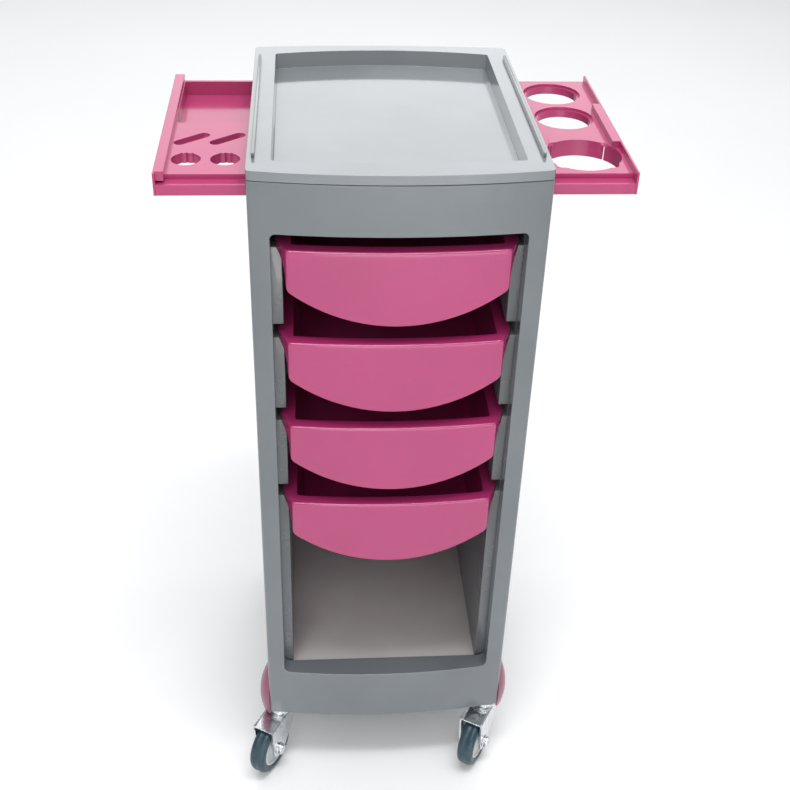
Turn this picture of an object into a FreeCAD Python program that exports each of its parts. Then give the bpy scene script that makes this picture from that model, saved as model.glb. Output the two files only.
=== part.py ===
import FreeCAD, Part
import Sketcher
import math
import os
import re

# Spa trolley on four swivel casters: a tall cabinet with four hanging drawers, an open
# lower compartment, a lid with a recessed top, and a tray that pulls out of each side.
# Millimetres.  The origin is on the floor under the middle of the cabinet, the front
# faces -Y, the right side is +X and +Z is up.

doc = FreeCAD.newDocument("SpaTrolley")
sheet = doc.addObject("Spreadsheet::Sheet", "Sizes")

SIZES = {
    # cabinet
    "width": 310,            # across the side panels
    "depth": 371,            # from front corner line to back corner line
    "floor_gap": 94,         # underside of the cabinet
    "top_height": 880,       # flat rim of the lid
    "skin": 3,               # wall of every cabinet moulding
    "front_bow": 13,         # how far the front bulges at the middle
    "back_bow": 7,           # how far the back bulges at the middle
    "frame_depth": 17.5,     # front corner line to the back of the front frame
    "back_depth": 13.5,      # back corner line to the front edge of the back panel
    "play": 0.3,             # gap between mouldings that lie side by side
    # front opening
    "opening_half": 133,
    "opening_top": 812,
    "opening_bottom": 173,
    "opening_corner": 6,
    # lid
    "lid_band": 11,
    "recess_half": 130,
    "recess_depth": 18.6,
    "recess_front": 25,      # front corner line to the recess
    "recess_back": 25,       # back corner line to the recess at its corners
    "recess_front_bow": 6,
    "recess_back_bow": 14,
    "rail_offset": 148.2,    # middle of each raised rail
    "rail_width": 3,
    "rail_height": 5.5,
    "rail_front": 155,
    "rail_back": 143,
    # drawers
    "rim_top": 793.5,        # rim of the top drawer
    "drawer_pitch": 111,
    "drawer_wall": 2.2,
    "apron_half": 119,
    "apron_top_half": 115,
    "apron_side_drop": 46,   # rim to the lower side corner of the apron
    "apron_drop": 87,        # rim to the lowest point of the apron
    "apron_setback": 2,
    "apron_wall": 2.6,
    "rim_half": 128.5,
    "rim_band": 17,          # width of the rim along the front
    "rim_lip": 6.7,          # the rim turns down this far to stand on its ledge
    "mouth_bow": 7,
    "bin_top_half": 114.2,
    "bin_foot_half": 106,
    "bin_depth": 62,
    "bin_front": 178.5,
    "bin_back": 165,
    "bin_draft": 7,
    # guide panels
    "guide_face": 133,
    "ledge_face": 121.5,
    "ledge_drop": 7,         # rim of a drawer above its ledge
    "ledge_gap": 17,         # slot that the rim slides in
    "guide_front": 166,
    "guide_back": 171,
    # shelf, deck and base
    "shelf_top": 162,
    "deck_top": 824,
    "base_rise": 3,          # base pan above the cabinet's lower edge
    # side trays
    "tray_top": 855.2,
    "tray_step": 5.6,
    "tray_foot": 838,
    "tray_wall": 2.4,
    "tray_front": 152,
    "tray_land_front": 137.7,
    "tray_land_back": 136,
    "tray_back": 142,
    "tray_inner": 113,       # inner end of a pulled-out tray
    "tray_outer": 250,       # outer end of a pulled-out tray
    "end_top": 862.8,
    "end_lip": 11,           # width of the grip along the end wall
    "room_front": 1,         # front wall of the left tray's compartment
    "cup_radius": 30.5,
    "cup_step": 34,
    "cup_foot": 844,
    "dryer_radius": 41.5,
    "dryer_foot": 836.5,
    "slit": 2.6,
    "tool_radius": 15.6,
    "tool_foot": 844,
    "slot_length": 45,
    "slot_breadth": 13,
    "slot_angle": 39,
    "slot_foot": 827,        # lower edge of the tray slot in the side panels
    "channel_wall": 3,
    # casters
    "stem_x": 141,
    "stem_y": 168,
    "wheel_radius": 38,
    "wheel_width": 22,
    "wheel_trail": 31,
    # direction from each stem to its wheel, in plan
    "front_left_heading": 240,
    "front_right_heading": 240,
    "rear_left_heading": 60,
    "rear_right_heading": 120,
    "tyre_inner": 26.5,
    "fork_top": 82.6,
    "fork_wall": 2.4,
    "fork_half": 15,
    "race_radius": 18.5,
    "race_foot": 88.4,
    "stem_radius": 5,
    "stem_top": 124,
    "axle_radius": 4,
    # caster caps
    "cap_bulge": 12.6,
    "cap_axis": 163,         # axis of a cap from the middle of the cabinet
    "cap_level": 111.5,      # height of the fullest part
    "cap_half": 54,          # from there to the top of the cap
    "cap_foot": 84.5,
    "cap_wall": 2,
}

for row, (alias, value) in enumerate(SIZES.items(), start=1):
    sheet.set(f"A{row}", alias)
    sheet.set(f"B{row}", str(value))
    sheet.setAlias(f"B{row}", alias)
doc.recompute()

ALIASES = re.compile(r"\b(" + "|".join(sorted(SIZES, key=len, reverse=True)) + r")\b")

SIDES = {"left": -1, "right": 1}
CORNERS = {
    "front_left": (-1, -1),
    "front_right": (1, -1),
    "rear_left": (-1, 1),
    "rear_right": (1, 1),
}
REACH = 500              # longer than any piece, for tools that cut right through
CAP_STEPS = 8            # straight steps that follow the swell of a cap

sub_parts = []


# ---------------------------------------------------------------- helpers

def bound(text):
    """The same expression with each size read from the sheet."""
    return ALIASES.sub(r"Sizes.\1", str(text))


def both(half):
    """A span that is even about zero."""
    return f"-({half})", f"{half}"


def mirrored(sign, low, high):
    """A span, or its mirror image when sign is negative."""
    return (f"{low}", f"{high}") if sign > 0 else (f"-({high})", f"-({low})")


def sub_part(item, label):
    """Name a finished piece, which makes it a node."""
    item.Label = label
    sub_parts.append(item)
    return item


def place(item, x=0, y=0, z=0):
    for axis, value in zip("xyz", (x, y, z)):
        item.setExpression(f"Placement.Base.{axis}", bound(value))
    return item


def box(name, x, y, z):
    item = doc.addObject("Part::Box", name)
    for size, (low, high) in zip(("Length", "Width", "Height"), (x, y, z)):
        item.setExpression(size, bound(f"({high}) - ({low})"))
    return place(item, x[0], y[0], z[0])


def rod(name, radius, height, x=0, y=0, z=0, turn=None):
    """A cylinder from its base point, along +Z unless it is turned."""
    item = doc.addObject("Part::Cylinder", name)
    item.setExpression("Radius", bound(radius))
    item.setExpression("Height", bound(height))
    if turn:
        item.Placement.Rotation = FreeCAD.Rotation(FreeCAD.Vector(*turn[0]), turn[1])
    return place(item, x, y, z)


def slanted(name, length, breadth, height, x, y, z, degrees):
    """A box centred on x, y in plan and turned about Z."""
    item = doc.addObject("Part::Box", name)
    for size, text in (("Length", length), ("Width", breadth), ("Height", height)):
        item.setExpression(size, bound(text))
    item.Placement.Rotation = FreeCAD.Rotation(FreeCAD.Vector(0, 0, 1), degrees)
    half_x, half_y = f"({length}) / 2", f"({breadth}) / 2"
    west = f"{x} - {half_x} * cos({degrees}) + {half_y} * sin({degrees})"
    south = f"{y} - {half_x} * sin({degrees}) - {half_y} * cos({degrees})"
    return place(item, west, south, z)


def hexagon(name, across, height, x=0, y=0, z=0, turn=None):
    item = doc.addObject("Part::Prism", name)
    item.Polygon = 6
    item.setExpression("Circumradius", bound(f"({across}) / 2 / cos(30)"))
    item.setExpression("Height", bound(height))
    if turn:
        item.Placement.Rotation = FreeCAD.Rotation(FreeCAD.Vector(*turn[0]), turn[1])
    return place(item, x, y, z)


def fuse(name, *pieces):
    item = doc.addObject("Part::MultiFuse", name)
    item.Shapes = list(pieces)
    item.Refine = True
    return item


def common(name, *pieces):
    item = doc.addObject("Part::MultiCommon", name)
    item.Shapes = list(pieces)
    item.Refine = True
    return item


def cut(name, base, *tools):
    item = doc.addObject("Part::Cut", name)
    item.Base = base
    item.Tool = tools[0] if len(tools) == 1 else fuse(name + "_tools", *tools)
    item.Refine = True
    return item


def bowed(name, half, front, back, z, front_bow=None, back_bow=None):
    """A block whose front and back may bulge: a box inside large cylinders.

    front and back are the distances from the middle to the corner lines.
    The box reaches past a bulge, so that only the cylinder shapes it.
    """
    sides = ((-1, front, front_bow), (1, back, back_bow))
    reach = [f"({line}) + 2 * ({bow})" if bow else line for _, line, bow in sides]
    pieces = [box(name + "_block", both(half), (f"-({reach[0]})", reach[1]), z)]
    for side, line, bow in sides:
        if bow:
            radius = f"((({half})^2 + ({bow})^2) / (2 * ({bow})))"
            middle = f"{side} * (({line}) + ({bow}) - {radius})"
            pieces.append(rod(f"{name}_bow_{side + 1}", radius, f"({z[1]}) - ({z[0]})", 0, middle, z[0]))
    return common(name, *pieces)


def rounded_hole(name, half, z_low, z_high, corner):
    """A tool that cuts an opening with round corners along Y."""
    turn = ((1, 0, 0), -90)
    tall = box(name + "_tall", both(f"{half} - {corner}"), both(REACH), (z_low, z_high))
    wide = box(name + "_wide", both(half), both(REACH), (f"{z_low} + {corner}", f"{z_high} - {corner}"))
    rounds = [
        rod(f"{name}_round{i}{j}", corner, 2 * REACH, f"{i} * ({half} - {corner})", -REACH, level, turn)
        for i in (-1, 1)
        for j, level in enumerate((f"{z_low} + {corner}", f"{z_high} - {corner}"))
    ]
    return fuse(name, tall, wide, *rounds)


def plane_of(body, role):
    return next(item for item in body.Origin.OriginFeatures if item.Role == role)


def outline(body, name, role, points):
    """A closed outline of straight lines whose corners are bound to the sheet."""
    sketch = body.newObject("Sketcher::SketchObject", name)
    sketch.AttachmentSupport = [(plane_of(body, role), "")]
    sketch.MapMode = "FlatFace"
    count = len(points)
    start = [
        FreeCAD.Vector(50 * math.cos(2 * math.pi * i / count), 50 * math.sin(2 * math.pi * i / count), 0)
        for i in range(count)
    ]
    for i in range(count):
        sketch.addGeometry(Part.LineSegment(start[i], start[(i + 1) % count]), False)
    for i in range(count):
        sketch.addConstraint(Sketcher.Constraint("Coincident", i, 2, (i + 1) % count, 1))
    for i, (across, along) in enumerate(points):
        for kind, offset, text in (("DistanceX", start[i].x, across), ("DistanceY", start[i].y, along)):
            index = sketch.addConstraint(Sketcher.Constraint(kind, -1, 1, i, 1, offset))
            sketch.setExpression(f"Constraints[{index}]", bound(text))
    return sketch


def turned(body, name, points):
    """Revolve an outline in the body's XZ plane about its Z axis."""
    sketch = outline(body, name + "_outline", "XZ_Plane", points)
    feature = body.newObject("PartDesign::Revolution", name)
    feature.Profile = sketch
    feature.ReferenceAxis = (plane_of(body, "Z_Axis"), [""])
    feature.Angle = 360
    return feature


def extruded(body, kind, name, role, points, length):
    """Pad or pocket an outline evenly about its plane."""
    sketch = outline(body, name + "_outline", role, points)
    feature = body.newObject("PartDesign::" + kind, name)
    feature.Profile = sketch
    feature.SideType = "Symmetric"
    feature.setExpression("Length", bound(length))
    return feature


def tapered(name, z, low, high):
    """A block whose plan changes from low to high; each is (half width, front, back)."""
    item = doc.addObject("Part::Wedge", name)
    item.Placement.Rotation = FreeCAD.Rotation(FreeCAD.Vector(1, 0, 0), 90)
    limits = {
        "Ymin": z[0], "Ymax": z[1],
        "Xmin": f"-({low[0]})", "Xmax": low[0], "Zmin": f"-({low[2]})", "Zmax": low[1],
        "X2min": f"-({high[0]})", "X2max": high[0], "Z2min": f"-({high[2]})", "Z2max": high[1],
    }
    for limit, text in limits.items():
        item.setExpression(limit, bound(text))
    return item


# ---------------------------------------------------------------- cabinet

HALF_WIDTH = "width / 2"
HALF_DEPTH = "depth / 2"
SEAM = "top_height - lid_band"
FRAME_BACK = f"-({HALF_DEPTH} - frame_depth)"
PANEL_FRONT = f"{HALF_DEPTH} - back_depth"


def front_frame():
    """Bowed front moulding, hollow behind, with a wall round the drawer opening."""
    outer = bowed("frame_outer", HALF_WIDTH, HALF_DEPTH, FRAME_BACK, ("floor_gap", SEAM), "front_bow")
    hollow = bowed("frame_hollow", f"{HALF_WIDTH} - skin", f"{HALF_DEPTH} - skin", f"{FRAME_BACK} + 1",
                   ("floor_gap - 1", f"{SEAM} + 1"), "front_bow")
    wall = rounded_hole("frame_wall", "opening_half + skin", "opening_bottom - skin",
                        "opening_top + skin", "(opening_corner + skin)")
    opening = rounded_hole("frame_opening", "opening_half", "opening_bottom", "opening_top", "opening_corner")
    core = cut("frame_core", hollow, wall)
    return sub_part(cut("frame_cut", outer, core, opening), "front_frame")


def side_panel(side, sign):
    """Flat side wall with a slot at the top for the tray."""
    wall = box(f"{side}_wall", mirrored(sign, f"{HALF_WIDTH} - skin", HALF_WIDTH),
               (FRAME_BACK, PANEL_FRONT), ("floor_gap", SEAM))
    slot = box(f"{side}_slot", both(REACH), ("-(tray_front + 6)", "tray_back + 6"),
               ("slot_foot", f"{SEAM} + 1"))
    return sub_part(cut(f"{side}_panel_cut", wall, slot), f"{side}_side_panel")


def back_panel():
    """Bowed back wall with short returns that meet the side panels."""
    outer = bowed("back_outer", HALF_WIDTH, f"-({PANEL_FRONT})", HALF_DEPTH, ("floor_gap", SEAM),
                  None, "back_bow")
    hollow = bowed("back_hollow", f"{HALF_WIDTH} - skin", f"1 - ({PANEL_FRONT})", f"{HALF_DEPTH} - skin",
                   ("floor_gap - 1", f"{SEAM} + 1"), None, "back_bow")
    return sub_part(cut("back_cut", outer, hollow), "back_panel")


def top_lid():
    """Bowed lid: a skin with a turned-down band, a recessed tray and two raised rails."""
    outer = bowed("lid_outer", HALF_WIDTH, HALF_DEPTH, HALF_DEPTH, (SEAM, "top_height"),
                  "front_bow", "back_bow")
    under = bowed("lid_under", f"{HALF_WIDTH} - skin", f"{HALF_DEPTH} - skin", f"{HALF_DEPTH} - skin",
                  (f"{SEAM} - 1", "top_height - skin"), "front_bow", "back_bow")
    floor = "top_height - recess_depth"
    recess_front = f"{HALF_DEPTH} - recess_front"
    recess_back = f"{HALF_DEPTH} - recess_back"
    pan = bowed("lid_pan", "recess_half + skin", f"{recess_front} + skin", f"{recess_back} + skin",
                (f"{floor} - skin", "top_height - 1"), "recess_front_bow", "recess_back_bow")
    recess = bowed("lid_recess", "recess_half", recess_front, recess_back,
                   (floor, "top_height + 1"), "recess_front_bow", "recess_back_bow")
    rails = []
    for side, sign in SIDES.items():
        middle = f"{sign} * rail_offset"
        rails.append(box(f"lid_rail_{side}", (f"{middle} - rail_width / 2", f"{middle} + rail_width / 2"),
                         ("-rail_front", "rail_back"), ("top_height - 1", "top_height + rail_height")))
    shell = cut("lid_shell", outer, under)
    solid = fuse("lid_solid", shell, pan, *rails)
    return sub_part(cut("lid_cut", solid, recess), "top_lid")


def guide_panel(side, sign):
    """Inner wall with four hollow ledges; each drawer rim stands on one of them."""
    outer = "guide_face + skin"
    length = ("-guide_front", "guide_back")
    wall = box(f"{side}_guide_wall", mirrored(sign, "guide_face", outer), length,
               ("shelf_top", "deck_top - skin"))
    flange = box(f"{side}_guide_flange", mirrored(sign, "guide_face", f"{HALF_WIDTH} - skin - play"), length,
                 ("deck_top - 2 * skin", "deck_top - skin"))
    foot = box(f"{side}_guide_foot", mirrored(sign, "guide_face", f"{HALF_WIDTH} - skin - play"), length,
               ("shelf_top", "shelf_top + skin"))
    ledges = []
    cores = []
    for level in range(4):
        ledge_top = f"rim_top - {level} * drawer_pitch - ledge_drop"
        ledge_foot = f"{ledge_top} - drawer_pitch + ledge_gap" if level < 3 else "shelf_top"
        ledges.append(box(f"{side}_ledge_{level}", mirrored(sign, "ledge_face", "guide_face + 1"), length,
                          (ledge_foot, ledge_top)))
        cores.append(box(f"{side}_core_{level}", mirrored(sign, "ledge_face + skin", f"{outer} + 1"),
                         ("-guide_front + skin", "guide_back - skin"),
                         (f"{ledge_foot} + 2 * skin", f"{ledge_top} - skin")))
    solid = fuse(f"{side}_guide_solid", wall, flange, foot, *ledges)
    return sub_part(cut(f"{side}_guide_cut", solid, *cores), f"{side}_guide_panel")


def flat_floor(name, label, z):
    """A plate that fills the cabinet between the frame and the back panel."""
    plate = box(name, both(f"{HALF_WIDTH} - skin - play"), (FRAME_BACK, PANEL_FRONT), z)
    return sub_part(plate, label)


def base_pan():
    """Bottom plate that follows the bows, with a boss over each caster stem."""
    low = "floor_gap + base_rise"
    plate = bowed("base_plate", f"{HALF_WIDTH} - skin - play", f"{HALF_DEPTH} - skin - play",
                  f"{HALF_DEPTH} - skin - play", (low, f"{low} + skin"), "front_bow", "back_bow")
    bosses = []
    bores = []
    for corner, (east, north) in CORNERS.items():
        spot = (f"{east} * stem_x", f"{north} * stem_y")
        bosses.append(rod(f"{corner}_boss", "stem_radius * 2", 21, *spot, f"{low} + 1"))
        bores.append(rod(f"{corner}_bore", "stem_radius", 60, *spot, "floor_gap - 10"))
    return sub_part(cut("base_cut", fuse("base_solid", plate, *bosses), *bores), "base_pan")


def tray_channel(end, sign, skirt, land):
    """Slide for the trays along one end: a web with a ledge under the skirt and a lip over the flange."""
    web_face = f"{skirt} + 1"
    outer = f"{web_face} + channel_wall"
    along = both(f"{HALF_WIDTH} - skin - play - 1")
    lip_low = "tray_top - tray_step + 0.8"
    pieces = [
        box(f"{end}_web", along, mirrored(sign, web_face, outer), ("deck_top", f"{lip_low} + channel_wall")),
        box(f"{end}_ledge", along, mirrored(sign, f"{skirt} - 5", outer),
            ("tray_foot - 0.4 - channel_wall", "tray_foot - 0.4")),
        box(f"{end}_lip", along, mirrored(sign, f"{land} + 2", outer), (lip_low, f"{lip_low} + channel_wall")),
    ]
    return sub_part(fuse(f"{end}_channel", *pieces), f"{end}_tray_channel")


# ---------------------------------------------------------------- drawers

CORNER_ANGLE = 64        # slant of the rim's cut front corners
CORNER_TOOL = 60
CORNER_FRONT = -189.5    # where a cut corner meets the apron


def corner_cut(name, sign, rim):
    """A slanted block that cuts one front corner off a rim and its lips."""
    run, rise = math.cos(math.radians(CORNER_ANGLE)), math.sin(math.radians(CORNER_ANGLE))
    breadth = CORNER_TOOL / 2
    x = f"apron_top_half + {CORNER_TOOL / 4 * run + breadth / 2 * rise:.3f}"
    y = f"{CORNER_FRONT + CORNER_TOOL / 4 * rise - breadth / 2 * run:.3f}"
    return slanted(name, CORNER_TOOL, breadth, "rim_lip * 2", f"{sign} * ({x})", y,
                   f"{rim} - rim_lip - 1", sign * CORNER_ANGLE)


def drawer(number):
    """One moulding: bowed apron, rim with turned-down lips, and a tapered bin."""
    name = f"drawer_{number}"
    rim = f"(rim_top - {number - 1} * drawer_pitch)"
    line = f"{HALF_DEPTH} + front_bow - apron_setback"
    bow_radius = f"(({HALF_WIDTH})^2 + front_bow^2) / (2 * front_bow)"
    middle = f"{bow_radius} - ({line})"
    rim_low = f"{rim} - apron_wall"

    # apron: a curved sheet whose lower edge is an arc
    foot = f"({rim} - apron_drop)"
    rise = "(apron_drop - apron_side_drop)"
    arc_radius = f"((apron_half^2 + {rise}^2) / (2 * {rise}))"
    sheet_outer = rod(name + "_bow", bow_radius, "apron_drop", 0, middle, foot)
    sheet_inner = rod(name + "_bow_inner", f"{bow_radius} - apron_wall", "apron_drop + 2",
                      0, middle, f"{foot} - 1")
    front = tapered(name + "_sides", (foot, rim), ("apron_half + 3", line, f"-({HALF_DEPTH}) + 30"),
                    ("apron_top_half", line, f"-({HALF_DEPTH}) + 30"))
    arc = rod(name + "_arc", arc_radius, REACH, 0, 0, f"{foot} + {arc_radius}", ((1, 0, 0), 90))
    apron = common(name + "_apron", cut(name + "_sheet", sheet_outer, sheet_inner), front, arc)

    # rim: a flat band round the mouth, bowed in front, with its front corners cut off
    flat = box(name + "_flat", both("rim_half"), (f"-({line})", "guide_back - 2"), (rim_low, rim))
    bow = rod(name + "_rim_bow", bow_radius, "apron_wall", 0, middle, rim_low)
    nicks = [corner_cut(f"{name}_{side}_corner", sign, rim) for side, sign in SIDES.items()]
    mouth = bowed(name + "_mouth", "bin_top_half - drawer_wall", f"{HALF_DEPTH} - rim_band + 6",
                  "bin_back - drawer_wall", (f"{rim_low} - 1", f"{rim} + 1"), "mouth_bow", "1")
    lips = []
    for side, sign in SIDES.items():
        lips.append(box(f"{name}_{side}_lip", mirrored(sign, "rim_half - apron_wall", "rim_half"),
                        ("-(guide_front + 4)", "guide_back - 2"), (f"{rim} - rim_lip", f"{rim_low} + 1")))
    band = common(name + "_band", flat, bow)

    # bin: tapered walls and a floor
    z_low = f"{rim} - bin_depth"
    outer = tapered(name + "_bin", (z_low, f"{rim} - 1"),
                    ("bin_foot_half", "bin_front - bin_draft", "bin_back - bin_draft"),
                    ("bin_top_half", "bin_front", "bin_back"))
    inner = tapered(name + "_room", (f"{z_low} + drawer_wall", f"{rim} + 1"),
                    ("bin_foot_half - drawer_wall", "bin_front - bin_draft - drawer_wall",
                     "bin_back - bin_draft - drawer_wall"),
                    ("bin_top_half - drawer_wall", "bin_front - drawer_wall", "bin_back - drawer_wall"))
    solid = fuse(name + "_solid", band, outer, *lips)
    hollow = cut(name + "_hollow", solid, mouth, inner, *nicks)
    return sub_part(fuse(name + "_whole", hollow, apron), name)


# ---------------------------------------------------------------- side trays

def tray_shell(side, sign):
    """Flat tray with a step, flanges and skirts that slide in the channels, and an end wall."""
    span = mirrored(sign, "tray_inner", "tray_outer")
    inside = mirrored(sign, "tray_inner + tray_wall", "tray_outer - tray_wall")
    step = "tray_top - tray_step"
    platform = box(f"{side}_platform", span, ("-tray_land_front", "tray_land_back"),
                   (f"{step} - 1", "tray_top"))
    flange = box(f"{side}_flange", span, ("-tray_front", "tray_back"), ("tray_foot", step))
    under = box(f"{side}_under", inside, ("-tray_front + tray_wall", "tray_back - tray_wall"),
                ("tray_foot - 1", f"{step} - tray_wall"))
    under_platform = box(f"{side}_under_platform", inside,
                         ("-tray_land_front + tray_wall", "tray_land_back - tray_wall"),
                         ("tray_foot - 1", "tray_top - tray_wall"))
    end = box(f"{side}_end", mirrored(sign, "tray_outer - tray_wall", "tray_outer"),
              ("-tray_front - 1", "tray_land_back"), ("tray_foot", "end_top"))
    shell = cut(f"{side}_tray_shell", fuse(f"{side}_tray_solid", platform, flange), under, under_platform)
    return [shell, end]


def collared_hole(name, spot, radius, foot, step_radius=None):
    """A hole with a collar below the platform; returns the solid and the tools that cut it."""
    collar = rod(name + "_collar", f"({radius}) + tray_wall", f"tray_top - 1 - ({foot})", *spot, foot)
    bore = [rod(name + "_bore", radius, 40, *spot, f"({foot}) - 1")]
    if step_radius:
        ring = rod(name + "_ring", f"({step_radius}) + tray_wall", 5, *spot, "tray_top - 5.5")
        bore.append(rod(name + "_step", step_radius, 10, *spot, "tray_top - 3"))
        return [collar, ring], bore
    return [collar], bore


def grip(side, sign, run):
    """A lip along the top of the end wall, closed on its inner side."""
    inner = "tray_outer - end_lip"
    return [
        box(f"{side}_grip_top", mirrored(sign, inner, "tray_outer"), run, ("end_top - tray_wall", "end_top")),
        box(f"{side}_grip_wall", mirrored(sign, inner, f"{inner} + tray_wall"), run,
            ("tray_top - 1", "end_top")),
    ]


CUP_SPOTS = ((201, 93.5), (202, 17))
DRYER_SPOT = (203.5, -89)
RIGHT_GRIP = (-70, 42)
LEFT_GRIP = ("-tray_front + 4", "tray_land_back")
TOOL_HOLE_X, TOOL_HOLE_Y = (-220.5, -179.5), -99.5
TOOL_SLOT_X, TOOL_SLOT_Y = (-218, -179.5), -45


def right_cup_tray():
    """Tray with two stepped holes and one large hole whose collar is slit."""
    pieces = tray_shell("right", 1)
    tools = []
    for index, spot in enumerate(CUP_SPOTS):
        solids, bore = collared_hole(f"cup_{index}", spot, "cup_radius", "cup_foot", "cup_step")
        pieces += solids
        tools += bore
    solids, bore = collared_hole("dryer_hole", DRYER_SPOT, "dryer_radius", "dryer_foot")
    pieces += solids
    tools += bore
    for index in range(2):
        tools.append(slanted(f"dryer_slit_{index}", "2 * dryer_radius + 13", "slit",
                             "tray_top - dryer_foot + 20", *DRYER_SPOT, "dryer_foot - 10", 45 + 90 * index))
    pieces += grip("right", 1, RIGHT_GRIP)
    return sub_part(cut("right_tray_cut", fuse("right_tray_whole", *pieces), *tools), "right_cup_tray")


def left_tool_tray():
    """Tray with an open compartment, two slanted slots and two notched holes."""
    pieces = tray_shell("left", -1)
    room_x = ("-(tray_outer - end_lip)", "-(tray_inner + tray_wall + 2)")
    room_y = ("room_front", "tray_land_back - tray_wall")
    pieces.append(box("tool_room_box", ("-(tray_outer - end_lip + tray_wall)", "-tray_inner"),
                      ("room_front - tray_wall", "tray_land_back"), ("tray_foot - tray_wall", "tray_top")))
    tools = [box("tool_room", room_x, room_y, ("tray_foot", "tray_top + 1"))]
    for index, x in enumerate(TOOL_HOLE_X):
        solids, bore = collared_hole(f"tool_hole_{index}", (x, TOOL_HOLE_Y), "tool_radius", "tool_foot")
        pieces += solids
        tools += bore
    for index, x in enumerate(TOOL_SLOT_X):
        spot = (x, TOOL_SLOT_Y)
        pieces.append(slanted(f"slot_{index}_collar", "slot_length + 2 * tray_wall",
                              "slot_breadth + 2 * tray_wall",
                              "tray_top - 1 - (cup_foot - 2)", *spot, "cup_foot - 2", SIZES["slot_angle"]))
        tools.append(slanted(f"slot_{index}", "slot_length", "slot_breadth", 50, *spot, "cup_foot - 12",
                             SIZES["slot_angle"]))
    pieces += grip("left", -1, LEFT_GRIP)
    return sub_part(cut("left_tray_cut", fuse("left_tray_whole", *pieces), *tools), "left_tool_tray")


# ---------------------------------------------------------------- casters

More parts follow.
